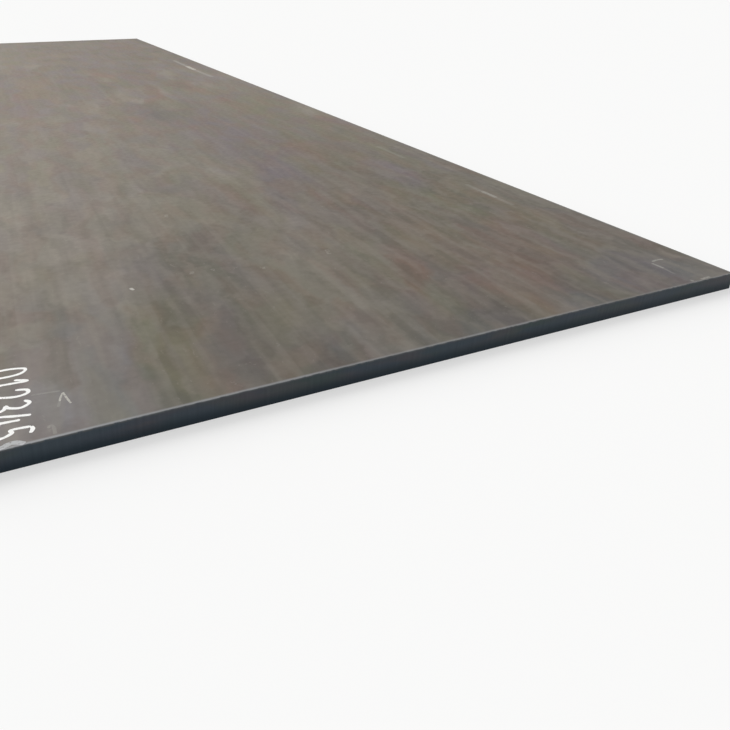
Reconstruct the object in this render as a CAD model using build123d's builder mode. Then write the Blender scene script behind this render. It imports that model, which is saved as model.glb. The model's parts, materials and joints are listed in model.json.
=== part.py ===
"""Heavy hot-rolled steel plate, torch-cut to size and lying flat, in millimetres.

The plate is one rolled piece, cut square on all four sides. +X runs along the
rolling direction, +Y across the width and +Z up. The origin is the middle of the
underside, the face that the plate lies on.

The torch enters from above. Its preheat flame melts the upper arris round, the cut
face below it stands square to the plate, and the lower arris is dressed to a small
chamfer where the slag was knocked off. The torch swings round each corner, which
leaves the four upright corner edges slightly round.
"""

import os

from build123d import *

# Size of the plate as ordered
length = 10000.0
width = 2200.0
thickness = 50.0

# What the torch and the dressing leave round the cut
corner_radius = 6.0
upper_arris_radius = 2.5
lower_arris_chamfer = 1.2

# Mill steel, for the printed mass
steel_density_kg_m3 = 7850.0

# The cut outline, raised to the thickness, with its upper and lower arris
with BuildPart() as plate:
    with BuildSketch(Plane.XY) as cut_outline:
        Rectangle(length, width)
        fillet(cut_outline.vertices(), radius=corner_radius)
    extrude(amount=thickness)
    upper_face = plate.faces().sort_by(Axis.Z)[-1]
    fillet(upper_face.outer_wire().edges(), radius=upper_arris_radius)
    lower_face = plate.faces().sort_by(Axis.Z)[0]
    chamfer(lower_face.outer_wire().edges(), length=lower_arris_chamfer)

plate.part.label = "plate"

os.makedirs("parts", exist_ok=True)
export_step(plate.part, "parts/plate.step")

mass_kg = plate.part.volume * 1e-9 * steel_density_kg_m3
print(f"plate: {length:g} x {width:g} x {thickness:g} mm, {mass_kg:.0f} kg")
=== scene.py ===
"""Dresses a heavy hot-rolled steel plate that lies flat on a pale studio floor.

The plate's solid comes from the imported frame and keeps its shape. It gets one finish
that covers the mill scale of its two rolled faces and the flame-cut sides. Separate thin
pieces are laid on it: the beads that the torch melted along the upper arris, plain
figures in white marking paint, setting-out ticks and a snapped line in chalk, and the
light rubs where the scale is scuffed.

Everything is in metres, in the plate's own frame: +X along the rolling direction, away
from the near end, +Y across the width and +Z up.
"""

import json
import logging
import math
from collections.abc import Iterable
from dataclasses import dataclass
from enum import Enum

import bpy
from mathutils import Matrix, Vector

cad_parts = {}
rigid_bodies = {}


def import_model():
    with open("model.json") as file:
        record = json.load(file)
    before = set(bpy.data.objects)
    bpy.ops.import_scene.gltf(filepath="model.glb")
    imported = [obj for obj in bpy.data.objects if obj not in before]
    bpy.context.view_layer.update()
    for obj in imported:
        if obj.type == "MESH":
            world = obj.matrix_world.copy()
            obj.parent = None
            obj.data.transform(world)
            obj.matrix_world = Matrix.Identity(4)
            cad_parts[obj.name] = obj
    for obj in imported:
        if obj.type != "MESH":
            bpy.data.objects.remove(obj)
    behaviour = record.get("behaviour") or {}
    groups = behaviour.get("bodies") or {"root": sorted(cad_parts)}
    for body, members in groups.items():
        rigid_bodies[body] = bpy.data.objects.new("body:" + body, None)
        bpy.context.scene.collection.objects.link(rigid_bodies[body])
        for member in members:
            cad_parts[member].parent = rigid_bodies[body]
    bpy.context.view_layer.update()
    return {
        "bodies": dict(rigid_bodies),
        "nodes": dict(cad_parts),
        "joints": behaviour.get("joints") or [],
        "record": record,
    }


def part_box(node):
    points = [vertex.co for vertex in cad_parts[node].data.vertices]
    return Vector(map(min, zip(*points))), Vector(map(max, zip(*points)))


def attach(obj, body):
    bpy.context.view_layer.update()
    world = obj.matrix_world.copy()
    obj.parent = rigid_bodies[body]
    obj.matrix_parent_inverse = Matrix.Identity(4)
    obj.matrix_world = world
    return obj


log = logging.getLogger("steel_plate")

MM = 0.001
BODY = "root"
PLATE_NODE = "plate"
WHITE = "#ffffff"

# Noise runs from 0 to 1 but lies mostly between the first two levels
NOISE_LOW = 0.3
NOISE_HIGH = 0.7
NOISE_MIDDLE = 0.5

# Places of a Mix node's sockets, whose names repeat
MIX_FACTOR = 0
MIX_NUMBER_A = 2
MIX_NUMBER_B = 3
MIX_COLOUR_A = 6
MIX_COLOUR_B = 7
MIX_COLOUR_OUT = 2

Tree = bpy.types.NodeTree
Socket = bpy.types.NodeSocket
Colour = tuple[float, float, float, float]
Point = tuple[float, float]
Line = tuple[Point, ...]


def linear(hex_colour: str) -> Colour:
    """Turns an sRGB colour into the linear one that shaders take.

    Args:
        hex_colour: Colour such as "#77736b".

    Returns:
        Linear red, green and blue, and an alpha of 1.
    """
    channels = [int(hex_colour[start : start + 2], 16) / 255 for start in (1, 3, 5)]
    flat = [c / 12.92 if c <= 0.04045 else ((c + 0.055) / 1.055) ** 2.4 for c in channels]
    return (*flat, 1.0)


def add_node(
    tree: Tree, kind: str, inputs: dict[str | int, object] | None = None, **settings: object
) -> bpy.types.Node:
    """Adds a node with its settings, values and links.

    Args:
        tree: Shader or Geometry Nodes tree that gets the node.
        kind: Blender's name for the kind of node.
        inputs: For each input, by name or number, a value or the socket that feeds it.
        **settings: The node's own properties, such as operation="ADD".

    Returns:
        The new node.
    """
    node = tree.nodes.new(kind)
    for name, setting in settings.items():
        setattr(node, name, setting)
    for name, value in (inputs or {}).items():
        if isinstance(value, Socket):
            tree.links.new(value, node.inputs[name])
        else:
            node.inputs[name].default_value = value
    return node


def new_material(name: str) -> tuple[bpy.types.Material, Tree]:
    """Makes a material whose node tree is still empty.

    Args:
        name: Name of the material.

    Returns:
        The material and its node tree.
    """
    material = bpy.data.materials.new(name)
    material.use_nodes = True
    material.node_tree.nodes.clear()
    return material, material.node_tree


def end_material(tree: Tree, surface: dict[str | int, object]) -> None:
    """Ends a material in one Principled shader with these values and sockets."""
    shader = add_node(tree, "ShaderNodeBsdfPrincipled", surface).outputs[0]
    add_node(tree, "ShaderNodeOutputMaterial", {"Surface": shader})


def lay_tones(
    tree: Tree, colour: Colour | Socket, tones: Iterable[tuple[Socket, Colour | Socket]]
) -> Socket:
    """Lays tones over a colour, one after the other, each as far as it covers.

    Args:
        tree: Node tree of the material.
        colour: The colour that lies under them all.
        tones: How far each tone covers, from 0 to 1, and its colour.

    Returns:
        Socket of the colour that comes of it.
    """
    for cover, tone in tones:
        mix = {MIX_FACTOR: cover, MIX_COLOUR_A: colour, MIX_COLOUR_B: tone}
        colour = add_node(tree, "ShaderNodeMix", mix, data_type="RGBA").outputs[MIX_COLOUR_OUT]
    return colour


@dataclass(frozen=True)
class Noise:
    """Noise of a real size.

    Args:
        size_mm: Usual size of a light or dark spot.
        detail: Octaves of finer noise inside it.
        roughness: Strength of an octave, as a share of the one before.
    """

    size_mm: float
    detail: float
    roughness: float = 0.5

    def inputs(self) -> dict[str, float]:
        """Returns what a Noise Texture takes, by the names of its sockets."""
        return {"Scale": 1 / (self.size_mm * MM), "Detail": self.detail, "Roughness": self.roughness}


@dataclass(frozen=True)
class Fade:
    """A value that follows another one: it changes while that one crosses a stretch.

    Args:
        start: The level of the other value at which the change starts.
        end: The level at which it is complete.
        before: The value that is held before the stretch.
        after: The value that is held after it.
    """

    start: float
    end: float
    before: float = 0.0
    after: float = 1.0

    def inputs(self) -> dict[str, float]:
        """Returns what a Map Range node takes, by the names of its sockets."""
        return {"From Min": self.start, "From Max": self.end, "To Min": self.before, "To Max": self.after}


@dataclass(frozen=True)
class PlateFrame:
    """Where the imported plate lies, as its lowest and highest corners.

    Args:
        low: Corner at the near end, the right side and the underside.
        high: Corner at the far end, the left side and the upper face.
    """

    low: Vector
    high: Vector

    @classmethod
    def read(cls) -> "PlateFrame":
        """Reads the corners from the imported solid."""
        return cls(*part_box(PLATE_NODE))

    @property
    def size(self) -> Vector:
        """Length, width and thickness."""
        return self.high - self.low

    def on_top(self, from_near_end: float, from_right_side: float) -> Vector:
        """Returns the point of the upper face at these distances, in metres."""
        return Vector((self.low.x + from_near_end, self.low.y + from_right_side, self.high.z))


class ScaleTone(Enum):
    """Colours that mill scale takes, from its thickness and from how it cooled."""

    BASE = "#59594f"
    TAN = "#6b6452"
    BROWN = "#615345"
    RUSSET = "#674e46"
    OLIVE = "#585a46"
    VIOLET = "#5d565f"
    SLATE = "#4f535b"
    PALE = "#77736c"
    DARK = "#41413c"
    ASH = "#808285"
    FLECK = "#8f8c85"


@dataclass(frozen=True)
class ScalePatch:
    """One tone of the mill scale, which shows all over in patches of a real size.

    Args:
        tone: Colour of the patches.
        along_mm: Usual length of a patch, along the rolling direction.
        across_mm: Usual width of a patch.
        threshold: Noise level where the tone begins. A lower one covers more.
        softness: Half the noise range over which the tone fades in.
        strength: How far the tone hides what lies under it near the near end, from 0 to 1.
        far_strength: The same, further along the plate.
        seed: Shift of the noise, in its own units.
        detail: Octaves of noise inside the patch.
        frayed: Whether the patch's edge is frayed, as a stain's is, or drawn by the rolls.
    """

    tone: ScaleTone
    along_mm: float
    across_mm: float
    threshold: float
    softness: float
    strength: float
    far_strength: float
    seed: float
    detail: float = 1
    frayed: bool = True


@dataclass(frozen=True)
class ScaleStain:
    """A stain that lies at one place on the upper face.

    Args:
        tone: Colour of the stain.
        from_near_end_mm: Place of its middle along the plate.
        from_right_side_mm: Place of its middle across the plate.
        half_along_mm: Its reach along the plate.
        half_across_mm: Its reach across the plate.
        strength: How far it hides what lies under it, from 0 to 1.
        softness: Share of its reach over which it fades out.
        turn_deg: Turn of its length away from the rolling direction.
    """

    tone: ScaleTone
    from_near_end_mm: float
    from_right_side_mm: float
    half_along_mm: float
    half_across_mm: float
    strength: float
    softness: float = 0.7
    turn_deg: float = 0.0


@dataclass(frozen=True)
class SteelSockets:
    """What a steel surface's pattern feeds to a shader.

    Args:
        colour: Colour of the surface.
        roughness: Its roughness.
        relief: Height of its grain, from 0 to 1.
    """

    colour: Socket
    roughness: Socket
    relief: Socket


def grained_steel(
    tree: Tree, colour: Socket, grain: Socket, shade: Fade, roughness: Fade
) -> SteelSockets:
    """Gives a steel surface its grain: the high spots are a little lighter and glossier.

    Args:
        tree: Node tree of the material.
        colour: Colour of the surface without its grain.
        grain: Height of the grain, from 0 to 1.
        shade: What the colour is multiplied by, as it follows the grain.
        roughness: The roughness, as it follows the grain.

    Returns:
        The sockets that carry the pattern.
    """
    lightness = add_node(tree, "ShaderNodeMapRange", {"Value": grain, **shade.inputs()}).outputs[0]
    shaded = add_node(
        tree,
        "ShaderNodeMix",
        {MIX_FACTOR: 1.0, MIX_COLOUR_A: colour, MIX_COLOUR_B: lightness},
        data_type="RGBA",
        blend_type="MULTIPLY",
    ).outputs[MIX_COLOUR_OUT]
    gloss = add_node(tree, "ShaderNodeMapRange", {"Value": grain, **roughness.inputs()}).outputs[0]
    return SteelSockets(shaded, gloss, grain)


def edge_distance(tree: Tree, place: Socket, plate: PlateFrame) -> Socket:
    """Returns the distance to the nearest cut side, in metres.

    Args:
        tree: Node tree of the material.
        place: Object coordinates.
        plate: Where the plate lies. Its middle is the origin.

    Returns:
        Socket of the distance, which is 0 on a side and grows inwards.
    """
    away = add_node(tree, "ShaderNodeVectorMath", {0: place}, operation="ABSOLUTE").outputs[0]
    room = add_node(
        tree, "ShaderNodeVectorMath", {0: tuple(plate.high), 1: away}, operation="SUBTRACT"
    ).outputs[0]
    parts = add_node(tree, "ShaderNodeSeparateXYZ", {0: room}).outputs
    return add_node(
        tree, "ShaderNodeMath", {0: parts["X"], 1: parts["Y"]}, operation="MINIMUM"
    ).outputs[0]


@dataclass(frozen=True)
class MillScale:
    """Mill scale: the oxide skin that forms on plate as it is rolled red hot.

    It is a thin, dark, semi-metallic iron oxide, so it is dull satin with a sheen at low
    angles. It cools in soft clouds of brown, olive and violet grey, drawn out a little
    along the plate, with stains where the descaling water stood, and a pale rim where
    the torch heated it. The brown and dark stains over the far end are partly painted
    shade, which holds down the sheen at low angles there.

    Args:
        metallic: How far it is a metal, from 0 to 1.
        specular: Specular level of its sheen.
        sheen: Colour of its sheen.
        roughness: Roughness, as it follows the grain.
        shade: Lightness, as it follows the grain.
        grain: The fine grain of the oxide.
        fray: The noise that pushes the edges of stains and clouds about.
        fray_along_mm: How far one unit of that noise pushes along the plate.
        fray_across_mm: How far it pushes across the plate.
        bold_mm: Distance from the near end up to which the patches have their near strength.
        calm_mm: Distance beyond which they have their far strength.
        upright_scale: Units of the patches' noise in a metre of height.
        stain_depth: How deep a stain reaches, as a share of the plate's thickness.
        rim_full_mm: Width of the pale rim where it is whole.
        rim_end_mm: Width within which it fades out.
        rim_stretch: The noise that makes the rim strong in one stretch and faint in the next.
        rim_lean: What a metre towards the left side adds to that noise.
        rim_strength: Strength of the rim, as it follows that noise.
        clouds: The broad, soft tones, laid first.
        stains: The stains, each at its own place, laid over the clouds.
        patches: The smaller tones and the streaks, laid over the stains.
    """

    metallic: float = 0.3
    specular: float = 0.25
    sheen: str = "#ffedd6"
    roughness: Fade = Fade(NOISE_LOW, NOISE_HIGH, 0.54, 0.46)
    shade: Fade = Fade(0.25, 0.75, 0.95, 1.05)
    grain: Noise = Noise(26.0, 5.0, 0.6)
    fray: Noise = Noise(260.0, 6.0, 0.62)
    fray_along_mm: float = 440.0
    fray_across_mm: float = 132.0
    bold_mm: float = 1200.0
    calm_mm: float = 3000.0
    upright_scale: float = 60.0
    stain_depth: float = 0.9
    rim_full_mm: float = 5.6
    rim_end_mm: float = 12.8
    rim_stretch: Noise = Noise(454.5, 4.0)
    rim_lean: float = 0.25
    rim_strength: Fade = Fade(0.2, 0.75, 0.2, 1.0)
    clouds: tuple[ScalePatch, ...] = (
        ScalePatch(ScaleTone.BROWN, 1700, 420, 0.50, 0.12, 0.55, 0.70, 3.1),
        ScalePatch(ScaleTone.OLIVE, 1400, 360, 0.53, 0.12, 0.56, 0.88, 17.4),
        ScalePatch(ScaleTone.VIOLET, 1500, 260, 0.54, 0.10, 0.60, 0.90, 29.8),
        ScalePatch(ScaleTone.PALE, 900, 260, 0.54, 0.12, 0.75, 0.95, 41.2),
        ScalePatch(ScaleTone.RUSSET, 800, 190, 0.55, 0.10, 0.53, 0.84, 47.6),
        ScalePatch(ScaleTone.DARK, 1100, 300, 0.55, 0.12, 0.35, 0.62, 141.3),
    )
    stains: tuple[ScaleStain, ...] = (
        ScaleStain(ScaleTone.PALE, 2000, 1600, 2700, 800, 0.95),
        ScaleStain(ScaleTone.ASH, 450, 1500, 1300, 800, 0.14),
        ScaleStain(ScaleTone.PALE, 4200, 1350, 1100, 460, 0.4),
        ScaleStain(ScaleTone.PALE, 4900, 150, 1500, 380, 0.5),
        ScaleStain(ScaleTone.OLIVE, 2000, 420, 2300, 620, 0.3),
        ScaleStain(ScaleTone.OLIVE, 8300, 1000, 2400, 1500, 0.35),
        ScaleStain(ScaleTone.OLIVE, 500, 1200, 1500, 420, 0.4),
        # Partly painted shade: this brown stain darkens the far end, holding down the sheen at low angles
        ScaleStain(ScaleTone.BROWN, 8700, 1000, 2700, 1500, 0.6),
        ScaleStain(ScaleTone.DARK, 8600, 350, 3200, 1000, 0.55),
        ScaleStain(ScaleTone.DARK, 1000, 120, 1800, 330, 0.35),
        ScaleStain(ScaleTone.VIOLET, 2700, 760, 1900, 260, 0.8, 0.7, -6),
        ScaleStain(ScaleTone.OLIVE, 3300, 330, 1300, 200, 0.7, 0.7, -4),
        # Partly painted shade: this dark stain darkens the far end, holding down the sheen at low angles
        ScaleStain(ScaleTone.DARK, 9900, 1200, 2100, 1500, 0.75),
        ScaleStain(ScaleTone.RUSSET, 5300, 1640, 1300, 210, 0.5),
        ScaleStain(ScaleTone.TAN, 5160, 1660, 1100, 170, 0.6),
        ScaleStain(ScaleTone.OLIVE, 7900, 1720, 1400, 210, 0.7),
        ScaleStain(ScaleTone.OLIVE, 9500, 1600, 700, 520, 0.45),
        ScaleStain(ScaleTone.VIOLET, 5900, 1340, 900, 140, 0.85),
        ScaleStain(ScaleTone.VIOLET, 7200, 1010, 1100, 260, 0.6),
        ScaleStain(ScaleTone.DARK, 5770, 1270, 200, 240, 0.4, 0.6, -25),
        ScaleStain(ScaleTone.DARK, 7430, 1300, 260, 230, 0.45, 0.6, -20),
        ScaleStain(ScaleTone.DARK, 7220, 640, 200, 220, 0.3, 0.6, -20),
        ScaleStain(ScaleTone.PALE, 9100, 820, 900, 420, 0.3, 0.8),
        ScaleStain(ScaleTone.RUSSET, 8800, 430, 1000, 300, 0.5),
        ScaleStain(ScaleTone.SLATE, 190, 1860, 520, 220, 0.6, 0.6),
        ScaleStain(ScaleTone.ASH, 100, 1920, 540, 270, 0.52, 0.55),
        ScaleStain(ScaleTone.SLATE, 30, 940, 200, 330, 0.55),
        ScaleStain(ScaleTone.OLIVE, 310, 1650, 480, 130, 0.75),
        ScaleStain(ScaleTone.DARK, 700, 1440, 620, 230, 0.5, 0.5, -8),
        ScaleStain(ScaleTone.SLATE, 90, 1380, 260, 230, 0.6),
        ScaleStain(ScaleTone.TAN, 520, 1110, 700, 90, 0.8),
        ScaleStain(ScaleTone.PALE, 1300, 1100, 1700, 300, 0.7),
        ScaleStain(ScaleTone.PALE, 1640, 1100, 760, 280, 0.5),
        ScaleStain(ScaleTone.ASH, 170, 1100, 360, 260, 0.16),
        ScaleStain(ScaleTone.RUSSET, 1450, 1120, 300, 70, 0.6),
        ScaleStain(ScaleTone.OLIVE, 1900, 1270, 300, 80, 0.5),
        ScaleStain(ScaleTone.VIOLET, 1740, 870, 900, 120, 0.75, 0.6, -12),
        ScaleStain(ScaleTone.BROWN, 1020, 650, 800, 200, 0.7),
        ScaleStain(ScaleTone.RUSSET, 470, 880, 320, 80, 0.7, 0.7, -24),
        ScaleStain(ScaleTone.RUSSET, 430, 480, 560, 150, 0.7, 0.7, -32),
        ScaleStain(ScaleTone.SLATE, 20, 280, 330, 420, 0.9, 0.5),
        ScaleStain(ScaleTone.OLIVE, 1060, 320, 330, 130, 0.6),
        ScaleStain(ScaleTone.OLIVE, 1850, 610, 330, 180, 0.65),
        ScaleStain(ScaleTone.VIOLET, 1560, 340, 440, 130, 0.8),
        ScaleStain(ScaleTone.RUSSET, 2230, 540, 480, 160, 0.65),
        ScaleStain(ScaleTone.OLIVE, 2150, 220, 420, 140, 0.6),
        ScaleStain(ScaleTone.PALE, 738, 1488, 52, 20, 0.55),
        ScaleStain(ScaleTone.PALE, 730, 1426, 36, 16, 0.45),
        ScaleStain(ScaleTone.PALE, 449, 1326, 40, 24, 0.45),
        ScaleStain(ScaleTone.PALE, 1150, 1416, 90, 22, 0.45),
        ScaleStain(ScaleTone.PALE, 205, 52, 40, 30, 0.6),
        ScaleStain(ScaleTone.ASH, 14, 1960, 26, 36, 0.7),
    )
    patches: tuple[ScalePatch, ...] = (
        ScalePatch(ScaleTone.DARK, 640, 180, 0.52, 0.11, 0.38, 0.20, 53.9),
        ScalePatch(ScaleTone.TAN, 420, 140, 0.54, 0.10, 0.34, 0.34, 61.5),
        ScalePatch(ScaleTone.VIOLET, 400, 130, 0.53, 0.10, 0.30, 0.50, 67.3),
        ScalePatch(ScaleTone.OLIVE, 320, 110, 0.53, 0.10, 0.22, 0.36, 71.7),
        ScalePatch(ScaleTone.RUSSET, 240, 85, 0.54, 0.10, 0.24, 0.30, 77.9),
        ScalePatch(ScaleTone.PALE, 1300, 36, 0.58, 0.08, 0.25, 0.12, 83.6, 2, False),
        ScalePatch(ScaleTone.DARK, 1000, 34, 0.58, 0.09, 0.16, 0.08, 97.2, 2, False),
        ScalePatch(ScaleTone.DARK, 130, 50, 0.53, 0.10, 0.25, 0.04, 103.5),
        ScalePatch(ScaleTone.PALE, 160, 55, 0.54, 0.10, 0.25, 0.04, 113.9),
        ScalePatch(ScaleTone.FLECK, 13, 10, 0.74, 0.05, 0.20, 0.04, 127.1),
    )

    def pattern(self, tree: Tree, place: Socket, plate: PlateFrame) -> SteelSockets:
        """Builds the scale's colour, roughness and relief in a material.

        Args:
            tree: Node tree of the material.
            place: Object coordinates.
            plate: Where the plate lies, for the stains and the rim.

        Returns:
            The sockets that carry the pattern.
        """
        frayed = self._frayed(tree, place)
        onward = self._onward(tree, place, plate)
        covers = [(self._patch_cover(tree, frayed, onward, cloud), cloud.tone) for cloud in self.clouds]
        covers += [(self._stain_cover(tree, frayed, plate, stain), stain.tone) for stain in self.stains]
        for patch in self.patches:
            edged = frayed if patch.frayed else place
            covers.append((self._patch_cover(tree, edged, onward, patch), patch.tone))
        covers.append((self._rim_cover(tree, place, plate), ScaleTone.ASH))
        tones = [(cover, linear(tone.value)) for cover, tone in covers]
        colour = lay_tones(tree, linear(ScaleTone.BASE.value), tones)
        grain = add_node(tree, "ShaderNodeTexNoise", {"Vector": place, **self.grain.inputs()}).outputs[0]
        return grained_steel(tree, colour, grain, self.shade, self.roughness)

    def _frayed(self, tree: Tree, place: Socket) -> Socket:
        """Returns the place pushed about on the face, which frays the edge of every stain.

        Args:
            tree: Node tree of the material.
            place: Object coordinates.

        Returns:
            Socket of the place that the stains and clouds read.
        """
        noise = add_node(tree, "ShaderNodeTexNoise", {"Vector": place, **self.fray.inputs()})
        push = {0: noise.outputs["Color"], 1: (NOISE_MIDDLE, NOISE_MIDDLE, NOISE_MIDDLE)}
        centred = add_node(tree, "ShaderNodeVectorMath", push, operation="SUBTRACT").outputs[0]
        reach = (self.fray_along_mm * MM, self.fray_across_mm * MM, 0.0)
        return add_node(
            tree, "ShaderNodeVectorMath", {0: centred, 1: reach, 2: place}, operation="MULTIPLY_ADD"
        ).outputs[0]

    def _onward(self, tree: Tree, place: Socket, plate: PlateFrame) -> Socket:
        """Returns 0 by the near end, where the patches are boldest, rising to 1 further on.

        Args:
            tree: Node tree of the material.
            place: Object coordinates.
            plate: Where the plate lies.

        Returns:
            Socket of the share, from 0 to 1.
        """
        along = add_node(tree, "ShaderNodeSeparateXYZ", {0: place}).outputs["X"]
        calming = Fade(plate.low.x + self.bold_mm * MM, plate.low.x + self.calm_mm * MM)
        return add_node(tree, "ShaderNodeMapRange", {"Value": along, **calming.inputs()}).outputs[0]

    def _patch_cover(self, tree: Tree, place: Socket, onward: Socket, patch: ScalePatch) -> Socket:
        """Spreads one tone over the face in patches.

        Args:
            tree: Node tree of the material.
            place: Object coordinates, pushed about where the patches are frayed.
            onward: 0 by the near end, rising to 1 further on.
            patch: The tone, and the size of its patches.

        Returns:
            Socket of how far the tone covers, from 0 to its strength.
        """
        # The two faces are 50 mm apart, so the upright scale gives each its own patches
        across_face = {
            "Vector": place,
            "Location": (patch.seed, patch.seed / 2, patch.seed / 3),
            "Scale": (1 / (patch.along_mm * MM), 1 / (patch.across_mm * MM), self.upright_scale),
        }
        stretched = add_node(tree, "ShaderNodeMapping", across_face).outputs[0]
        cloud = add_node(
            tree, "ShaderNodeTexNoise", {"Vector": stretched, "Scale": 1.0, "Detail": patch.detail}
        ).outputs[0]
        strength = {"Value": onward, "To Min": patch.strength, "To Max": patch.far_strength}
        most = add_node(tree, "ShaderNodeMapRange", strength).outputs[0]
        shown = {
            "Value": cloud,
            "From Min": patch.threshold - patch.softness,
            "From Max": patch.threshold + patch.softness,
            "To Max": most,
        }
        return add_node(
            tree, "ShaderNodeMapRange", shown, interpolation_type="SMOOTHSTEP"
        ).outputs[0]

    def _stain_cover(self, tree: Tree, place: Socket, plate: PlateFrame, stain: ScaleStain) -> Socket:
        """Lays one stain at its place on the upper face.

        Args:
            tree: Node tree of the material.
            place: Object coordinates, pushed about to fray the stain's edge.
            plate: Where the plate lies.
            stain: The stain.

        Returns:
            Socket of how far the stain covers, from 0 to its strength.
        """
        middle = plate.on_top(stain.from_near_end_mm * MM, stain.from_right_side_mm * MM)
        depth = self.stain_depth * plate.size.z
        around = {
            "Vector": place,
            "Location": tuple(middle),
            "Rotation": (0.0, 0.0, math.radians(stain.turn_deg)),
            "Scale": (stain.half_along_mm * MM, stain.half_across_mm * MM, depth),
        }
        inside = add_node(tree, "ShaderNodeMapping", around, vector_type="TEXTURE").outputs[0]
        hill = add_node(
            tree, "ShaderNodeTexGradient", {"Vector": inside}, gradient_type="SPHERICAL"
        ).outputs[1]
        return add_node(
            tree,
            "ShaderNodeMapRange",
            {"Value": hill, "From Max": stain.softness, "To Max": stain.strength},
            interpolation_type="SMOOTHSTEP",
        ).outputs[0]

    def _rim_cover(self, tree: Tree, place: Socket, plate: PlateFrame) -> Socket:
        """Returns how much the pale rim covers, beside the cut, more towards the left side.

        Args:
            tree: Node tree of the material.
            place: Object coordinates.
            plate: Where the plate lies.

        Returns:
            Socket of the cover, from 0 to 1.
        """
        rim = Fade(self.rim_end_mm * MM, self.rim_full_mm * MM)
        near = add_node(
            tree,
            "ShaderNodeMapRange",
            {"Value": edge_distance(tree, place, plate), **rim.inputs()},
            interpolation_type="SMOOTHSTEP",
        ).outputs[0]
        stretch = add_node(
            tree, "ShaderNodeTexNoise", {"Vector": place, **self.rim_stretch.inputs()}
        ).outputs[0]
        across = add_node(tree, "ShaderNodeSeparateXYZ", {0: place}).outputs["Y"]
        leftward = add_node(
            tree, "ShaderNodeMath", {0: across, 1: self.rim_lean, 2: stretch}, operation="MULTIPLY_ADD"
        ).outputs[0]
        strength = {"Value": leftward, **self.rim_strength.inputs()}
        share = add_node(tree, "ShaderNodeMapRange", strength).outputs[0]
        return add_node(tree, "ShaderNodeMath", {0: near, 1: share}, operation="MULTIPLY").outputs[0]


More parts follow.
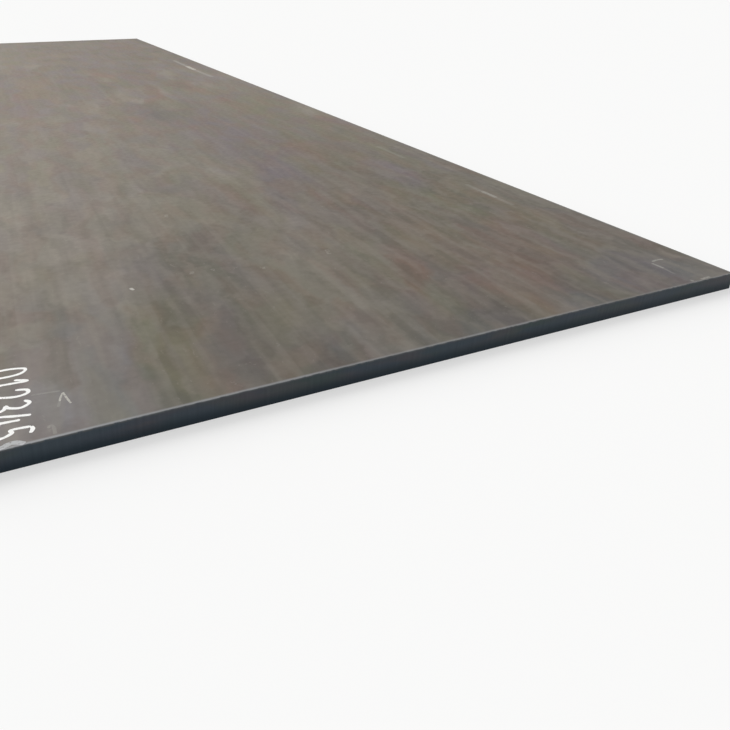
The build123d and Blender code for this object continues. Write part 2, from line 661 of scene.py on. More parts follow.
@dataclass(frozen=True)
class TorchCut:
    """Flame-cut steel: a smooth, dark blue-grey oxide that the torch leaves on the sides.

    The cut is nearly flat and dull. It has drifts of temper colour, a darker, bluer foot
    that is painted shade, and upright drag lines, which show only faintly. Real drag lines are
    about 1 mm apart, too fine to show here, so they are drawn 8 mm apart.

    Args:
        head: Colour near the upper arris.
        foot: Colour of the foot, which is painted shade.
        tempers: Temper colours, laid one over the other.
        roughness: Roughness, as it follows the drag lines.
        shade: Lightness, as it follows the drag lines.
        drag: The drag lines' spacing and detail.
        drag_lean: How far they lean, for each unit of height.
        drift_along_mm: Usual length of a drift of temper colour.
        drift_up_mm: Usual height of a drift.
        drift_detail: Octaves of noise inside a drift.
        drift_bend: How far its edge is bent about.
        drift_shift: Shift of the noise from one temper colour to the next.
        temper: Strength of a temper colour, as it follows its noise.
        painted_foot_shade: Strength of the painted shade at the foot, as it follows the height,
        in shares of the thickness.
    """

    head: str = "#41474a"
    foot: str = "#1b2b36"
    tempers: tuple[str, ...] = ("#364547", "#46454d", "#37434f")
    roughness: Fade = Fade(NOISE_LOW, NOISE_HIGH, 0.58, 0.52)
    shade: Fade = Fade(NOISE_LOW, NOISE_HIGH, 0.96, 1.04)
    drag: Noise = Noise(8.0, 3.0)
    drag_lean: float = 0.12
    drift_along_mm: float = 190.0
    drift_up_mm: float = 45.0
    drift_detail: float = 3.0
    drift_bend: float = 0.3
    drift_shift: tuple[float, float, float] = (7.3, 3.1, 1.0)
    temper: Fade = Fade(0.42, 0.62, 0.0, 0.7)
    # Painted shade that darkens the cut and turns it bluer towards its foot
    painted_foot_shade: Fade = Fade(0.72, 0.1, 0.0, 0.9)

    def pattern(self, tree: Tree, place: Socket, plate: PlateFrame) -> SteelSockets:
        """Builds the cut's colour, roughness and relief in a material.

        Args:
            tree: Node tree of the material.
            place: Object coordinates.
            plate: Where the plate lies, for the height of the cut.

        Returns:
            The sockets that carry the pattern.
        """
        parts = add_node(tree, "ShaderNodeSeparateXYZ", {0: place}).outputs
        tones = [
            (self._temper_cover(tree, place, number), linear(temper))
            for number, temper in enumerate(self.tempers)
        ]
        height = add_node(
            tree, "ShaderNodeMath", {0: parts["Z"], 1: plate.high.z}, operation="DIVIDE"
        ).outputs[0]
        # Painted shade: how far the dark, bluer foot colour covers, rising towards the foot
        painted_shade_share = add_node(
            tree,
            "ShaderNodeMapRange",
            {"Value": height, **self.painted_foot_shade.inputs()},
            interpolation_type="SMOOTHSTEP",
        ).outputs[0]
        colour = lay_tones(tree, linear(self.head), [*tones, (painted_shade_share, linear(self.foot))])
        return grained_steel(tree, colour, self._drag_lines(tree, parts), self.shade, self.roughness)

    def _temper_cover(self, tree: Tree, place: Socket, number: int) -> Socket:
        """Returns how much one temper colour covers, in drifts that lie along the cut.

        Args:
            tree: Node tree of the material.
            place: Object coordinates.
            number: Place of the temper colour among the others.

        Returns:
            Socket of the cover, from 0 to the colour's strength.
        """
        along, up = 1 / (self.drift_along_mm * MM), 1 / (self.drift_up_mm * MM)
        shift = tuple(number * step for step in self.drift_shift)
        drift = add_node(
            tree, "ShaderNodeMapping", {"Vector": place, "Location": shift, "Scale": (along, along, up)}
        ).outputs[0]
        noise = {"Scale": 1.0, "Detail": self.drift_detail, "Distortion": self.drift_bend}
        cloud = add_node(tree, "ShaderNodeTexNoise", {"Vector": drift, **noise}).outputs[0]
        return add_node(
            tree,
            "ShaderNodeMapRange",
            {"Value": cloud, **self.temper.inputs()},
            interpolation_type="SMOOTHSTEP",
        ).outputs[0]

    def _drag_lines(self, tree: Tree, parts: bpy.types.NodeOutputs) -> Socket:
        """Returns upright lines that lean back a little towards the foot of the cut.

        Args:
            tree: Node tree of the material.
            parts: Object coordinates, as X, Y and Z.

        Returns:
            Socket of the lines' height, from 0 to 1.
        """
        along = add_node(
            tree, "ShaderNodeMath", {0: parts["X"], 1: parts["Y"]}, operation="ADD"
        ).outputs[0]
        leaning = add_node(
            tree, "ShaderNodeMath", {0: parts["Z"], 1: self.drag_lean, 2: along}, operation="MULTIPLY_ADD"
        ).outputs[0]
        return add_node(
            tree, "ShaderNodeTexNoise", {"W": leaning, **self.drag.inputs()}, noise_dimensions="1D"
        ).outputs[0]


@dataclass(frozen=True)
class PlateFinish:
    """The whole plate's finish: scale on the rolled faces and oxide on the cut sides.

    Args:
        scale: Finish of the rolled faces.
        cut: Finish of the sides.
        scale_ends_mm: Distance from a side at which the scale ends.
        cut_starts_mm: Distance from a side within which only the cut's oxide shows.
        relief_mm: Depth of the grain.
    """

    scale: MillScale = MillScale()
    cut: TorchCut = TorchCut()
    scale_ends_mm: float = 3.6
    cut_starts_mm: float = 2.4
    relief_mm: float = 0.05

    def material(self, plate: PlateFrame) -> bpy.types.Material:
        """Builds the material that the plate's solid wears.

        Args:
            plate: Where the plate lies.

        Returns:
            The material.
        """
        material, tree = new_material("mill_scale_and_torch_cut")
        place = add_node(tree, "ShaderNodeTexCoord").outputs["Object"]
        faces = self.scale.pattern(tree, place, plate)
        sides = self.cut.pattern(tree, place, plate)
        change = Fade(self.scale_ends_mm * MM, self.cut_starts_mm * MM)
        inset = edge_distance(tree, place, plate)
        on_side = add_node(tree, "ShaderNodeMapRange", {"Value": inset, **change.inputs()}).outputs[0]
        roughness, relief = (
            add_node(
                tree, "ShaderNodeMix", {MIX_FACTOR: on_side, MIX_NUMBER_A: face, MIX_NUMBER_B: side}
            ).outputs[0]
            for face, side in ((faces.roughness, sides.roughness), (faces.relief, sides.relief))
        )
        normal = add_node(
            tree, "ShaderNodeBump", {"Height": relief, "Strength": 1.0, "Distance": self.relief_mm * MM}
        ).outputs[0]
        surface = {
            "Base Color": lay_tones(tree, faces.colour, [(on_side, sides.colour)]),
            "Metallic": self.scale.metallic,
            "Roughness": roughness,
            "Specular IOR Level": self.scale.specular,
            "Specular Tint": linear(self.scale.sheen),
            "Normal": normal,
        }
        end_material(tree, surface)
        return material


@dataclass(frozen=True)
class MeltedSteel:
    """Steel that the torch's preheat flame melted: a smooth, skinned-over bead.

    Its crown is paler and glossier than the scale beside it, and its paleness is partly a
    painted highlight along the arris. Its outer half carries the dark oxide of the cut.

    Args:
        crown: Colour of the crown where it is clean, partly a painted highlight.
        dull: Colour of the crown where a skin has dulled it.
        outer: Colour of the outer half.
        skin: The noise that the dull skin follows.
        dulled: How far the skin covers, as it follows that noise.
        crown_ends_mm: Depth under the upper face at which the crown's colour ends.
        outer_starts_mm: Depth below which only the outer colour shows.
        roughness: Roughness of the bead.
        metallic: How far it is a metal, from 0 to 1.
    """

    # The crown's pale colour is partly a painted highlight along the arris
    crown: str = "#747678"
    dull: str = "#4c4e50"
    outer: str = "#3f4346"
    skin: Noise = Noise(454.5, 6.0, 0.6)
    dulled: Fade = Fade(0.6, 0.4)
    crown_ends_mm: float = 0.32
    outer_starts_mm: float = 0.48
    roughness: float = 0.4
    metallic: float = 0.4

    def material(self, plate: PlateFrame) -> bpy.types.Material:
        """Builds the material of the melted arris.

        Args:
            plate: Where the plate lies, for the height of the crown.

        Returns:
            The material.
        """
        material, tree = new_material("melted_steel")
        place = add_node(tree, "ShaderNodeTexCoord").outputs["Object"]
        skin = add_node(tree, "ShaderNodeTexNoise", {"Vector": place, **self.skin.inputs()}).outputs[0]
        share = add_node(
            tree,
            "ShaderNodeMapRange",
            {"Value": skin, **self.dulled.inputs()},
            interpolation_type="SMOOTHSTEP",
        ).outputs[0]
        height = add_node(tree, "ShaderNodeSeparateXYZ", {0: place}).outputs["Z"]
        change = Fade(plate.high.z - self.crown_ends_mm * MM, plate.high.z - self.outer_starts_mm * MM)
        outside = add_node(tree, "ShaderNodeMapRange", {"Value": height, **change.inputs()}).outputs[0]
        tones = [(share, linear(self.dull)), (outside, linear(self.outer))]
        surface = {
            "Base Color": lay_tones(tree, linear(self.crown), tones),
            "Metallic": self.metallic,
            "Roughness": self.roughness,
        }
        end_material(tree, surface)
        return material


@dataclass(frozen=True)
class DryMark:
    """Paint or chalk dragged over rough scale: whole on the high spots, broken between.

    Args:
        name: Name of the material.
        colour: sRGB colour of the mark where it is whole.
        cover: Share of the mark that is whole, from 0 to 1.
        speckle_mm: Usual size of its gaps.
        opacity: How far the mark hides the scale where it is whole.
        roughness: Roughness of the mark.
        softness: Half the noise range over which a gap opens.
        detail: Octaves of noise in the shape of a gap.
        raggedness: Strength of an octave, as a share of the one before.
    """

    name: str
    colour: str
    cover: float
    speckle_mm: float
    opacity: float
    roughness: float
    softness: float = 0.06
    detail: float = 3.0
    raggedness: float = 0.6

    def material(self, scale: MillScale, plate: PlateFrame) -> bpy.types.Material:
        """Builds the mark's material, with the scale showing through its gaps.

        Args:
            scale: The finish that the mark lies on.
            plate: Where the plate lies.

        Returns:
            The material.
        """
        material, tree = new_material(self.name)
        place = add_node(tree, "ShaderNodeTexCoord").outputs["Object"]
        under = scale.pattern(tree, place, plate)
        noise = Noise(self.speckle_mm, self.detail, self.raggedness)
        gaps = add_node(tree, "ShaderNodeTexNoise", {"Vector": place, **noise.inputs()}).outputs[0]
        level = NOISE_HIGH - (NOISE_HIGH - NOISE_LOW) * self.cover
        edge = Fade(level - self.softness, level + self.softness, 0.0, self.opacity)
        whole = add_node(
            tree, "ShaderNodeMapRange", {"Value": gaps, **edge.inputs()}, interpolation_type="SMOOTHSTEP"
        ).outputs[0]
        metallic, roughness = (
            add_node(
                tree, "ShaderNodeMix", {MIX_FACTOR: whole, MIX_NUMBER_A: bare, MIX_NUMBER_B: marked}
            ).outputs[0]
            for bare, marked in ((scale.metallic, 0.0), (under.roughness, self.roughness))
        )
        surface = {
            "Base Color": lay_tones(tree, under.colour, [(whole, linear(self.colour))]),
            "Metallic": metallic,
            "Roughness": roughness,
            "Specular IOR Level": scale.specular,
            "Specular Tint": linear(scale.sheen),
        }
        end_material(tree, surface)
        return material


# A paint marker lays a dense white film. Where the cut's heat reached it, it is greyer
# and thinner. Chalk is powder: matt, soft and broken. Bared and rubbed steel is paler
# than the scale and as dull.
MARKING_PAINT = DryMark("marking_paint", "#f4f4f2", 0.97, 4.0, 0.97, 0.6)
SCORCHED_PAINT = DryMark("scorched_paint", "#c3c6c9", 0.8, 6.0, 0.6, 0.7)
FIRM_CHALK = DryMark("firm_chalk", "#bfbdb5", 0.8, 5.0, 0.75, 0.9)
SOFT_CHALK = DryMark("soft_chalk", "#a9a8a2", 0.85, 8.0, 0.48, 0.9)
FAINT_CHALK = DryMark("faint_chalk", "#a2a19b", 0.9, 9.0, 0.24, 0.9)
BARED_STEEL = DryMark("bared_steel", "#bab8b1", 0.9, 6.0, 0.75, 0.5)
RUBBED_SCALE = DryMark("rubbed_scale", "#a2a09a", 0.6, 12.0, 0.24, 0.5)


class ShapeTree:
    """A Geometry Nodes tree with named inputs, ending in one realised mesh."""

    def __init__(self, name: str, sizes: dict[str, float]) -> None:
        """Makes the tree with its group input.

        Args:
            name: Name of the tree.
            sizes: Name and default of each number that the tree takes.
        """
        self.tree = bpy.data.node_groups.new(name, "GeometryNodeTree")
        face = self.tree.interface
        face.new_socket("Geometry", in_out="INPUT", socket_type="NodeSocketGeometry")
        for size_name, default in sizes.items():
            size = face.new_socket(size_name, in_out="INPUT", socket_type="NodeSocketFloat")
            size.default_value = default
        face.new_socket("Material", in_out="INPUT", socket_type="NodeSocketMaterial")
        face.new_socket("Geometry", in_out="OUTPUT", socket_type="NodeSocketGeometry")
        self.given = add_node(self.tree, "NodeGroupInput").outputs

    def end(self, shape: Socket) -> None:
        """Realises the shape, gives it the material and closes the tree.

        Args:
            shape: Socket of the finished geometry.
        """
        real = add_node(self.tree, "GeometryNodeRealizeInstances", {0: shape}).outputs[0]
        dressed = {"Geometry": real, "Material": self.given["Material"]}
        out = add_node(self.tree, "GeometryNodeSetMaterial", dressed).outputs[0]
        add_node(self.tree, "NodeGroupOutput", {0: out})

    def grow(
        self, name: str, start: bpy.types.Mesh, sizes: dict[str, float], material: bpy.types.Material
    ) -> bpy.types.Object:
        """Runs the tree once and keeps its result as a plain mesh.

        Args:
            name: Name of the piece.
            start: Mesh that the tree begins from.
            sizes: Value of each named input.
            material: Material of the piece.

        Returns:
            The piece, at the origin and without a modifier.
        """
        piece = bpy.data.objects.new(name, start)
        bpy.context.scene.collection.objects.link(piece)
        modifier = piece.modifiers.new("shape", "NODES")
        modifier.node_group = self.tree
        sockets = {s.name: s.identifier for s in self.tree.interface.items_tree if s.in_out == "INPUT"}
        for size_name, value in sizes.items():
            modifier[sockets[size_name]] = value
        modifier[sockets["Material"]] = material
        graph = bpy.context.evaluated_depsgraph_get()
        grown = bpy.data.meshes.new_from_object(piece.evaluated_get(graph), depsgraph=graph)
        piece.modifiers.remove(modifier)
        grown.name = name
        piece.data = grown
        bpy.data.meshes.remove(start)
        return piece


class StrokeTree(ShapeTree):
    """Turns hand-drawn lines into thin, uneven ribbons of paint or chalk.

    Width, Thickness and Spacing are in metres, and Grain is in units of noise in a metre.
    Raggedness is the share of the width that comes and goes. Taper is the share of a
    stroke's length over which each end narrows, and Tip the share of the width left there.
    """

    GRAIN_DETAIL = 2.0

    def __init__(self) -> None:
        """Builds the tree: smooth the line, vary its width and give it a flat section."""
        sizes = {"Width": 0.006, "Thickness": 0.0002, "Spacing": 0.002, "Grain": 90.0}
        super().__init__("stroke_ribbon", {**sizes, "Raggedness": 0.35, "Taper": 0.03, "Tip": 0.55})
        tree = self.tree
        given = self.given
        line = add_node(tree, "GeometryNodeMeshToCurve", {"Mesh": given["Geometry"]}).outputs[0]
        smooth = add_node(
            tree, "GeometryNodeCurveSplineType", {"Curve": line}, spline_type="CATMULL_ROM"
        ).outputs[0]
        steps = {"Curve": smooth, "Length": given["Spacing"]}
        even = add_node(tree, "GeometryNodeResampleCurve", steps, mode="LENGTH").outputs[0]
        flat = add_node(tree, "GeometryNodeSetCurveNormal", {"Curve": even}, mode="Z_UP").outputs[0]
        sides = {"Width": given["Width"], "Height": given["Thickness"]}
        section = add_node(tree, "GeometryNodeCurvePrimitiveQuadrilateral", sides).outputs[0]
        swept = {"Curve": flat, "Profile Curve": section, "Scale": self._breadth(), "Fill Caps": True}
        ribbon = add_node(tree, "GeometryNodeCurveToMesh", swept).outputs[0]
        hard_edged = {"Geometry": ribbon, "Shade Smooth": False}
        self.end(add_node(tree, "GeometryNodeSetShadeSmooth", hard_edged).outputs[0])

    def _breadth(self) -> Socket:
        """Returns the share of the width at each step: uneven, and narrowing at both ends.

        Returns:
            Socket of the share.
        """
        tree = self.tree
        given = self.given
        ragged = {"Scale": given["Grain"], "Detail": self.GRAIN_DETAIL}
        noise = add_node(tree, "ShaderNodeTexNoise", ragged).outputs[0]
        # The noise lies between 0 and 1, and its swing between -1 and 1
        swing = add_node(
            tree, "ShaderNodeMath", {0: noise, 1: 2.0, 2: -1.0}, operation="MULTIPLY_ADD"
        ).outputs[0]
        uneven = add_node(
            tree, "ShaderNodeMath", {0: swing, 1: given["Raggedness"], 2: 1.0}, operation="MULTIPLY_ADD"
        ).outputs[0]
        onward = add_node(tree, "GeometryNodeSplineParameter").outputs["Factor"]
        back = add_node(tree, "ShaderNodeMath", {0: 1.0, 1: onward}, operation="SUBTRACT").outputs[0]
        nearest = add_node(
            tree, "ShaderNodeMath", {0: onward, 1: back}, operation="MINIMUM"
        ).outputs[0]
        ends = {"Value": nearest, "From Max": given["Taper"], "To Min": given["Tip"]}
        taper = add_node(tree, "ShaderNodeMapRange", ends).outputs[0]
        return add_node(tree, "ShaderNodeMath", {0: uneven, 1: taper}, operation="MULTIPLY").outputs[0]


@dataclass(frozen=True)
class StrokeSet:
    """Lines drawn by hand with one tool, which make one piece.

    Args:
        name: Name of the piece.
        mark: Paint or chalk that it is drawn with.
        slot: The record's material slot. It is not used.
        width_mm: Width of the line.
        strokes: The lines, as distances from the near end and from the right side, in mm.
        proud_mm: How far the mark stands above the scale.
        spacing_mm: Length of one step along a line.
    """

    name: str
    mark: DryMark
    slot: str
    width_mm: float
    strokes: tuple[Line, ...]
    proud_mm: float = 0.1
    spacing_mm: float = 2.0

    def build(self, plate: PlateFrame, tree: StrokeTree, scale: MillScale) -> bpy.types.Object:
        """Draws the lines on the plate as one thin piece.

        Args:
            plate: Where the plate lies.
            tree: Geometry Nodes tree that gives a line its body.
            scale: The finish under the mark.

        Returns:
            The piece, riding on the plate.
        """
        corners: list[Vector] = []
        edges: list[tuple[int, int]] = []
        for stroke in self.strokes:
            first = len(corners)
            corners += [plate.on_top(x * MM, y * MM) for x, y in stroke]
            edges += [(k, k + 1) for k in range(first, len(corners) - 1)]
        mesh = bpy.data.meshes.new(self.name + "_lines")
        mesh.from_pydata(corners, edges, [])
        sizes = {
            "Width": self.width_mm * MM,
            "Thickness": 2 * self.proud_mm * MM,
            "Spacing": self.spacing_mm * MM,
        }
        piece = tree.grow(self.name, mesh, sizes, self.mark.material(scale, plate))
        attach(piece, BODY)
        return piece


class FigureShapes:
    """Plain counting figures as a quick hand draws them.

    Each line is a list of points across and up the figure, from 0 to 1 each way.
    """

    ZERO = (((0.7, 0.97), (0.3, 0.98), (0.03, 0.66), (0.05, 0.25), (0.35, 0.0), (0.72, 0.12),
             (0.95, 0.5), (0.88, 0.85), (0.55, 1.0)),)
    ONE = (((0.2, 0.74), (0.58, 1.0), (0.52, 0.5), (0.46, 0.0)),)
    TWO = (((0.08, 0.74), (0.3, 0.97), (0.7, 0.98), (0.86, 0.74), (0.55, 0.36), (0.08, 0.03),
            (0.5, 0.05), (0.96, 0.0)),)
    THREE = (((0.12, 0.9), (0.5, 1.0), (0.86, 0.82), (0.62, 0.58), (0.36, 0.53), (0.74, 0.47),
              (0.93, 0.22), (0.55, 0.0), (0.08, 0.1)),)
    FOUR = (((0.5, 1.0), (0.28, 0.68), (0.05, 0.36), (0.5, 0.33), (0.96, 0.37)),
            ((0.78, 0.78), (0.7, 0.36), (0.64, 0.0)))
    FIVE = (((0.34, 0.97), (0.27, 0.6), (0.6, 0.6), (0.88, 0.38), (0.66, 0.06), (0.12, 0.04)),
            ((0.34, 0.98), (0.62, 1.0), (0.96, 0.95)))
    # The last figure was cut through when the plate was, so only part of its back is left
    SIX_BACK = (((0.5, 0.82), (0.24, 0.68), (0.2, 0.55), (0.4, 0.4), (0.52, 0.2)),)


@dataclass(frozen=True)
class WrittenFigures:
    """A row of plain figures in white marking paint, beside the near left corner.

    The row reads towards the near end, with the figures' tops towards the right side.

    Args:
        first_from_near_end_mm: Where the first figure starts.
        pitch_mm: Distance from one figure to the next.
        figure_width_mm: Width of a figure.
        figure_height_mm: Height of a figure.
        tops_from_right_side_mm: Where the figures' tops lie.
        line_width_mm: Width of the painted line.
        shapes: The whole figures in their order.
        cut_through: What is left of the last figure.
        cut_through_width_mm: Width of its line, spread by the heat.
    """

    first_from_near_end_mm: float = 338.0
    pitch_mm: float = 52.0
    figure_width_mm: float = 39.0
    figure_height_mm: float = 98.0
    tops_from_right_side_mm: float = 1979.0
    line_width_mm: float = 8.5
    shapes: tuple[tuple[Line, ...], ...] = (
        FigureShapes.ZERO,
        FigureShapes.ONE,
        FigureShapes.TWO,
        FigureShapes.THREE,
        FigureShapes.FOUR,
        FigureShapes.FIVE,
    )
    cut_through: tuple[Line, ...] = FigureShapes.SIX_BACK
    cut_through_width_mm: float = 13.0

    def stroke_sets(self) -> tuple[StrokeSet, StrokeSet]:
        """Lays the whole figures out in their row, and the one that the cut scorched.

        Returns:
            The whole figures, and what is left of the last one.
        """
        whole = tuple(
            stroke for place, shape in enumerate(self.shapes) for stroke in self._strokes(place, shape)
        )
        scorched = tuple(self._strokes(len(self.shapes), self.cut_through))
        width, scorched_width = self.line_width_mm, self.cut_through_width_mm
        return (
            StrokeSet("painted_figures", MARKING_PAINT, "marking_paint", width, whole),
            StrokeSet("scorched_figure", SCORCHED_PAINT, "marking_paint", scorched_width, scorched),
        )

    def _strokes(self, place: int, shape: tuple[Line, ...]) -> list[Line]:
        """Returns the lines of the figure at one place in the row.

        Args:
            place: Place of the figure in the row, from 0.
            shape: Its lines, across and up the figure, from 0 to 1 each way.

        Returns:
            The lines, as distances from the near end and from the right side, in mm.
        """
        start = self.first_from_near_end_mm - place * self.pitch_mm
        foot = self.tops_from_right_side_mm + self.figure_height_mm
        width, height = self.figure_width_mm, self.figure_height_mm
        return [tuple((start - across * width, foot - up * height) for across, up in line) for line in shape]


@dataclass(frozen=True)
class SettingOut:
    """Chalk marks by both near corners, and a snapped line along the right side.

    Args:
        line_from_right_side_mm: Distance of the snapped line from the right side.
        tick_width_mm: Width of the ticks.
        corner_width_mm: Width of the corner mark's lines.
        faint_width_mm: Width of the faint lines.
        snapped_width_mm: Width of the snapped line, near and midway.
        far_width_mm: Width of its far stretches.
        bright_width_mm: Width of its brightest stretch.
    """

    line_from_right_side_mm: float = 162.0
    tick_width_mm: float = 4.5
    corner_width_mm: float = 9.0
    faint_width_mm: float = 7.0
    snapped_width_mm: float = 18.0
    far_width_mm: float = 36.0
    bright_width_mm: float = 38.0

    def stroke_sets(self) -> tuple[StrokeSet, ...]:
        """Lays the chalk marks out from the snapped line's distance to the right side.

        Returns:
            The ticks, the corner mark, the faint lines and the snapped line.
        """
        edge = self.line_from_right_side_mm
        ticks = (
            ((139, 1921), (157, 1917), (175, 1911)),
            ((175, 1911), (148, 1906), (121, 1900)),
        )
        corner = (
            ((183, 104), (187, 126), (183, 150)),
            ((172, edge + 1), (150, edge), (124, edge)),
            ((20, edge + 6), (10, edge)),
            ((11, 130), (12, 108), (13, 92)),
        )
        faint = (
            ((192, 1974), (188, 1942), (184, 1916)),
            ((138, 1921), (128, 1923), (117, 1925)),
            ((42, 1951), (50, 1946), (42, 1941), (14, 1940)),
            ((122, edge), (100, edge + 4), (76, edge + 6)),
        )
        worn = (
            ((884, edge + 6), (940, edge + 7), (996, edge + 5)),
            ((1104, edge + 4), (1165, edge + 3), (1228, edge + 1)),
            ((1780, edge + 1), (1930, edge + 2), (2080, edge)),
        )
        kept = (((998, edge + 5), (1050, edge + 4), (1102, edge + 4)),)
        far = (
            ((5300, edge + 15), (5600, edge + 24), (5880, edge + 26)),
            ((6220, edge + 25), (6500, edge + 22), (6830, edge + 17)),
        )
        bright = (((5884, edge + 26), (6050, edge + 26), (6216, edge + 25)),)
        return (
            StrokeSet("chalk_ticks", FIRM_CHALK, "chalk", self.tick_width_mm, ticks),
            StrokeSet("chalk_corner", SOFT_CHALK, "chalk", self.corner_width_mm, corner),
            StrokeSet("faint_lines", FAINT_CHALK, "chalk", self.faint_width_mm, faint),
            StrokeSet("worn_snapped_line", FAINT_CHALK, "chalk", self.snapped_width_mm, worn),
            StrokeSet("snapped_line", SOFT_CHALK, "chalk", self.snapped_width_mm, kept),
            StrokeSet("far_snapped_line", SOFT_CHALK, "chalk", self.far_width_mm, far),
            StrokeSet("bright_snapped_line", FIRM_CHALK, "chalk", self.bright_width_mm, bright),
        )


@dataclass(frozen=True)
class Scuffs:
    """Short light rubs, where a sling scuffed the scale thin and once wore it through.

    Args:
        bared_width_mm: Width of the rub that is worn through.
        rubbed_width_mm: Width of the faint rubs.
    """

    bared_width_mm: float = 9.0
    rubbed_width_mm: float = 14.0

    def stroke_sets(self) -> tuple[StrokeSet, StrokeSet]:
        """Lays the rubs out at their places.

        Returns:
            The rub that is worn through, and the faint ones.
        """
        bared = (((683, 1671), (692, 1675), (701, 1677)),)
        rubbed = (
            ((726, 1490), (750, 1486)),
            ((727, 1427), (743, 1422)),
            ((672, 1281), (690, 1277)),
            ((700, 1044), (744, 1036)),
            ((1330, 1436), (1368, 1431)),
        )
        return (
            StrokeSet("bared_scuff", BARED_STEEL, "rolled_steel", self.bared_width_mm, bared),
            StrokeSet("faint_scuffs", RUBBED_SCALE, "rolled_steel", self.rubbed_width_mm, rubbed),
        )


class ArrisTree(ShapeTree):
    """Runs an uneven bead round the plate's cut outline.

    Length, Width, Corner, Height, Bead and Step are in metres. Waver is in units of noise
    in a metre, and Swell is the bead's greatest width as a share of its least one.
    """

    CORNER_STEPS = 4
    BEAD_SIDES = 10
    WAVER_DETAIL = 3.0

    def __init__(self) -> None:
        """Builds the tree: a rounded outline, evenly stepped, swept with a wavering circle."""
        outer = {"Length": 10.0, "Width": 2.2, "Corner": 0.006, "Height": 0.05}
        bead = {"Bead": 0.0025, "Step": 0.006, "Waver": 60.0, "Swell": 1.1}
        super().__init__("melted_arris", {**outer, **bead})
        tree = self.tree
        given = self.given
        sides = {"Width": given["Length"], "Height": given["Width"]}
        outline = add_node(tree, "GeometryNodeCurvePrimitiveQuadrilateral", sides).outputs[0]
        corner = {"Curve": outline, "Radius": given["Corner"], "Count": self.CORNER_STEPS}
        rounded = add_node(tree, "GeometryNodeFilletCurve", corner, mode="POLY").outputs[0]
        lift = add_node(tree, "ShaderNodeCombineXYZ", {"Z": given["Height"]}).outputs[0]
        raised = add_node(
            tree, "GeometryNodeSetPosition", {"Geometry": rounded, "Offset": lift}
        ).outputs[0]
        steps = {"Curve": raised, "Length": given["Step"]}
        even = add_node(tree, "GeometryNodeResampleCurve", steps, mode="LENGTH").outputs[0]
        noise = {"Scale": given["Waver"], "Detail": self.WAVER_DETAIL}
        waver = add_node(tree, "ShaderNodeTexNoise", noise).outputs[0]
        grown = {"From Min": NOISE_LOW, "From Max": NOISE_HIGH, "To Min": 1.0, "To Max": given["Swell"]}
        swell = add_node(tree, "ShaderNodeMapRange", {"Value": waver, **grown}).outputs[0]
        circle = {"Resolution": self.BEAD_SIDES, "Radius": given["Bead"]}
        section = add_node(tree, "GeometryNodeCurvePrimitiveCircle", circle).outputs[0]
        swept = {"Curve": even, "Profile Curve": section, "Scale": swell}
        melted = add_node(tree, "GeometryNodeCurveToMesh", swept).outputs[0]
        self.end(add_node(tree, "GeometryNodeSetShadeSmooth", {"Geometry": melted}).outputs[0])


@dataclass(frozen=True)
class MeltedArris:
    """The line of small beads that the torch's preheat flame leaves on the upper arris.

    Args:
        arris_radius_mm: Radius of the rounded arris, and of the bead on it.
        corner_radius_mm: Radius of the plate's upright corners.
        step_mm: Length of one step along the bead.
        finish: Finish of the bead.
    """

    arris_radius_mm: float = 2.5
    corner_radius_mm: float = 6.0
    step_mm: float = 6.0
    finish: MeltedSteel = MeltedSteel()

    def build(self, plate: PlateFrame) -> bpy.types.Object:
        """Runs the bead round the plate.

        Args:
            plate: Where the plate lies.

        Returns:
            The piece, riding on the plate.
        """
        inset = self.arris_radius_mm * MM
        sizes = {
            "Length": plate.size.x - 2 * inset,
            "Width": plate.size.y - 2 * inset,
            "Corner": self.corner_radius_mm * MM - inset,
            "Height": plate.high.z - inset,
            "Bead": inset,
            "Step": self.step_mm * MM,
        }
        start = bpy.data.meshes.new("arris_start")
        piece = ArrisTree().grow("melted_arris", start, sizes, self.finish.material(plate))
        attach(piece, BODY)
        return piece


@dataclass(frozen=True)
class StudioFloor:
    """A pale, matt floor that the camera sees as nearly white, with the plate's shadow.

    Args:
        colour: Colour of the floor.
        half_size: Distance from its middle to each of its sides, in metres.
        lift: How far it is lifted towards white where the background shows.
        roughness: Roughness of the floor.
    """

    colour: str = "#f4f4f3"
    half_size: float = 150.0
    lift: float = 0.5
    roughness: float = 0.9

    def build(self) -> bpy.types.Object:
        """Lays the floor under the plate.

        Returns:
            The floor.
        """
        reach = self.half_size
        corners = [(-reach, -reach, 0), (reach, -reach, 0), (reach, reach, 0), (-reach, reach, 0)]
        mesh = bpy.data.meshes.new("studio_floor")
        mesh.from_pydata(corners, [], [(0, 1, 2, 3)])
        mesh.materials.append(self.material())
        floor = bpy.data.objects.new("studio_floor", mesh)
        bpy.context.scene.collection.objects.link(floor)
        return floor

    def material(self) -> bpy.types.Material:
        """Builds the floor's material, lifted towards white where the background shows.

        Returns:
            The material.
        """
        material, tree = new_material("pale_floor")
        ground = {
            "Base Color": linear(self.colour),
            "Roughness": self.roughness,
            "Specular IOR Level": 0.0,
        }
        matt = add_node(tree, "ShaderNodeBsdfPrincipled", ground).outputs[0]
        white = add_node(
            tree, "ShaderNodeEmission", {"Color": linear(WHITE), "Strength": 1.0}
        ).outputs[0]
        seen = background_rays(tree)
        share = add_node(
            tree, "ShaderNodeMath", {0: seen, 1: self.lift}, operation="MULTIPLY"
        ).outputs[0]
        surface = add_node(tree, "ShaderNodeMixShader", {0: share, 1: matt, 2: white}).outputs[0]
        add_node(tree, "ShaderNodeOutputMaterial", {"Surface": surface})
        return material


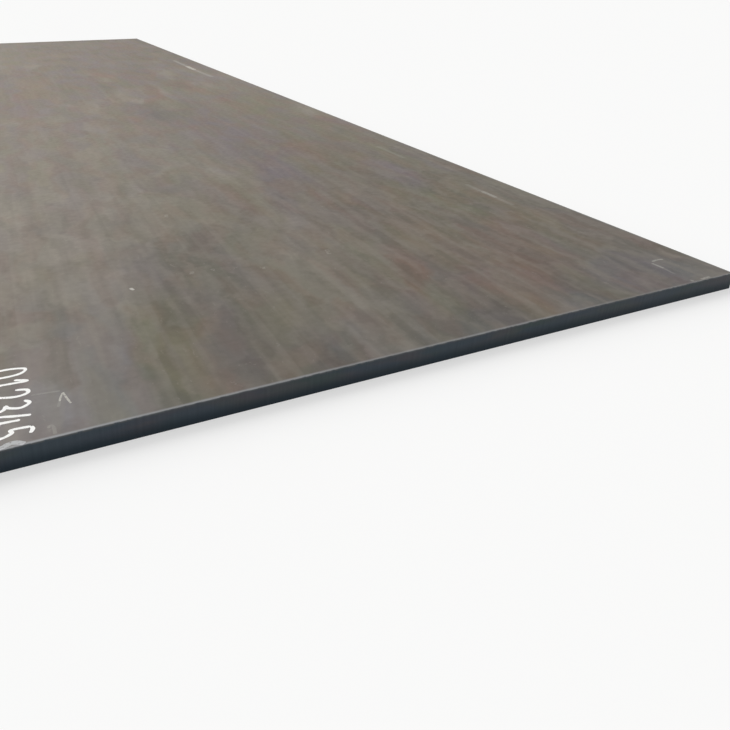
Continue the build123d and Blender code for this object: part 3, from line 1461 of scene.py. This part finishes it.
def background_rays(tree: Tree) -> Socket:
    """Tells the rays that should meet the white background from the rest.

    Args:
        tree: Node tree of the floor's material or of the world.

    Returns:
        Socket that is 1 for those rays and 0 for the rest.
    """
    rays = add_node(tree, "ShaderNodeLightPath").outputs
    seen = rays["Is Camera Ray"]
    for kind in ("Is Glossy Ray", "Is Transmission Ray"):
        seen = add_node(tree, "ShaderNodeMath", {0: seen, 1: rays[kind]}, operation="MAXIMUM").outputs[0]
    return seen


@dataclass(frozen=True)
class StudioLight:
    """Soft, plain light: an even surround, and one broad lamp low over the far left.

    Args:
        surround: Strength of the surround's light. Rays that should meet white see 1 instead.
        lamp_strength: Strength of the lamp.
        lamp_breadth_deg: How broad the lamp looks from the plate.
        lamp_from_upright_deg: How far it hangs from straight above.
        lamp_turn_deg: Its turn about the upright, from the far end towards the left side.
    """

    surround: float = 0.55
    lamp_strength: float = 2.83
    lamp_breadth_deg: float = 50.0
    lamp_from_upright_deg: float = 60.0
    lamp_turn_deg: float = 38.0

    def build(self) -> None:
        """Sets the surround and hangs the lamp."""
        world = bpy.data.worlds.new("studio")
        world.use_nodes = True
        bpy.context.scene.world = world
        tree = world.node_tree
        tree.nodes.clear()
        strength = {"Value": background_rays(tree), "To Min": self.surround, "To Max": 1.0}
        level = add_node(tree, "ShaderNodeMapRange", strength).outputs[0]
        glow = add_node(
            tree, "ShaderNodeBackground", {"Color": linear(WHITE), "Strength": level}
        ).outputs[0]
        add_node(tree, "ShaderNodeOutputWorld", {"Surface": glow})
        sun = bpy.data.lights.new("broad_lamp", "SUN")
        sun.energy = self.lamp_strength
        sun.angle = math.radians(self.lamp_breadth_deg)
        lamp = bpy.data.objects.new("broad_lamp", sun)
        turn = Matrix.Rotation(math.radians(self.lamp_turn_deg), 4, "Z")
        tilt = Matrix.Rotation(math.radians(self.lamp_from_upright_deg), 4, "Y")
        lamp.matrix_world = turn @ tilt
        bpy.context.scene.collection.objects.link(lamp)


@dataclass(frozen=True)
class StandingView:
    """The view of someone who stands close by the near end and looks down the plate.

    Args:
        focal_px: Focal length, in widths of one pixel of the picture.
        picture_px: Width and height of the picture.
        before_near_end: Distance in front of the near end, in metres.
        from_right_side: Distance in from the right side.
        above_top: Height over the upper face.
        turn_deg: Turn from the rolling direction, towards the right side.
        dip_deg: How far the view looks down.
        roll_deg: How far the view leans to its right.
        sensor_mm: Width of the picture inside the camera, which scales the focal length.
        nearest: Distance in front of the camera at which things start to show.
        furthest: Distance at which they stop to show.
    """

    focal_px: float = 686.7
    picture_px: float = 730.0
    before_near_end: float = 1.264
    from_right_side: float = 1.882
    above_top: float = 0.794
    turn_deg: float = 26.21
    dip_deg: float = 29.595
    roll_deg: float = 0.05
    sensor_mm: float = 36.0
    nearest: float = 0.01
    furthest: float = 1000.0

    def build(self, plate: PlateFrame) -> bpy.types.Object:
        """Places the camera and makes it the scene's own.

        Args:
            plate: Where the plate lies.

        Returns:
            The camera.
        """
        lens = bpy.data.cameras.new("standing_view")
        lens.sensor_width = self.sensor_mm
        lens.lens = self.sensor_mm * self.focal_px / self.picture_px
        lens.clip_start = self.nearest
        lens.clip_end = self.furthest
        camera = bpy.data.objects.new("standing_view", lens)
        turn, dip = math.radians(-self.turn_deg), math.radians(self.dip_deg)
        ahead = Vector((math.cos(turn) * math.cos(dip), math.sin(turn) * math.cos(dip), -math.sin(dip)))
        level = Vector((math.sin(turn), -math.cos(turn), 0.0))
        right = Matrix.Rotation(math.radians(self.roll_deg), 3, ahead) @ level
        upward = right.cross(ahead)
        spot = plate.on_top(-self.before_near_end, self.from_right_side)
        spot.z += self.above_top
        facing = Matrix((right, upward, -ahead)).transposed().to_4x4()
        camera.matrix_world = Matrix.Translation(spot) @ facing
        bpy.context.scene.collection.objects.link(camera)
        bpy.context.scene.camera = camera
        return camera


@dataclass(frozen=True)
class DressedPlate:
    """The plate with its finish and every piece that lies on it.

    Args:
        finish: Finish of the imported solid.
        arris: The melted arris.
        figures: The painted figures.
        setting_out: The chalk marks.
        scuffs: The light rubs.
    """

    finish: PlateFinish = PlateFinish()
    arris: MeltedArris = MeltedArris()
    figures: WrittenFigures = WrittenFigures()
    setting_out: SettingOut = SettingOut()
    scuffs: Scuffs = Scuffs()

    def build(self, frame: dict[str, dict], plate: PlateFrame) -> list[bpy.types.Object]:
        """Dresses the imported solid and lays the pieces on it.

        Args:
            plate: Where the plate lies.

        Returns:
            Every piece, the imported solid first.
        """
        solid = frame["nodes"][PLATE_NODE]
        solid.data.materials.clear()
        solid.data.materials.append(self.finish.material(plate))
        pieces = [solid, self.arris.build(plate)]
        strokes = StrokeTree()
        sources = (self.figures, self.setting_out, self.scuffs)
        for marks in (marks for source in sources for marks in source.stroke_sets()):
            pieces.append(marks.build(plate, strokes, self.finish.scale))
        return pieces


def main() -> None:
    """Builds the plate and its studio in order, and reports each piece."""
    logging.basicConfig(level=logging.INFO, format="%(name)s: %(message)s")
    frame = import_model()
    plate = PlateFrame.read()
    bpy.context.scene.view_settings.view_transform = "Standard"
    StandingView().build(plate)
    StudioLight().build()
    StudioFloor().build()
    for piece in DressedPlate().build(frame, plate):
        log.info("%s: %d faces", piece.name, len(piece.data.polygons))


if __name__ == "__main__":
    main()
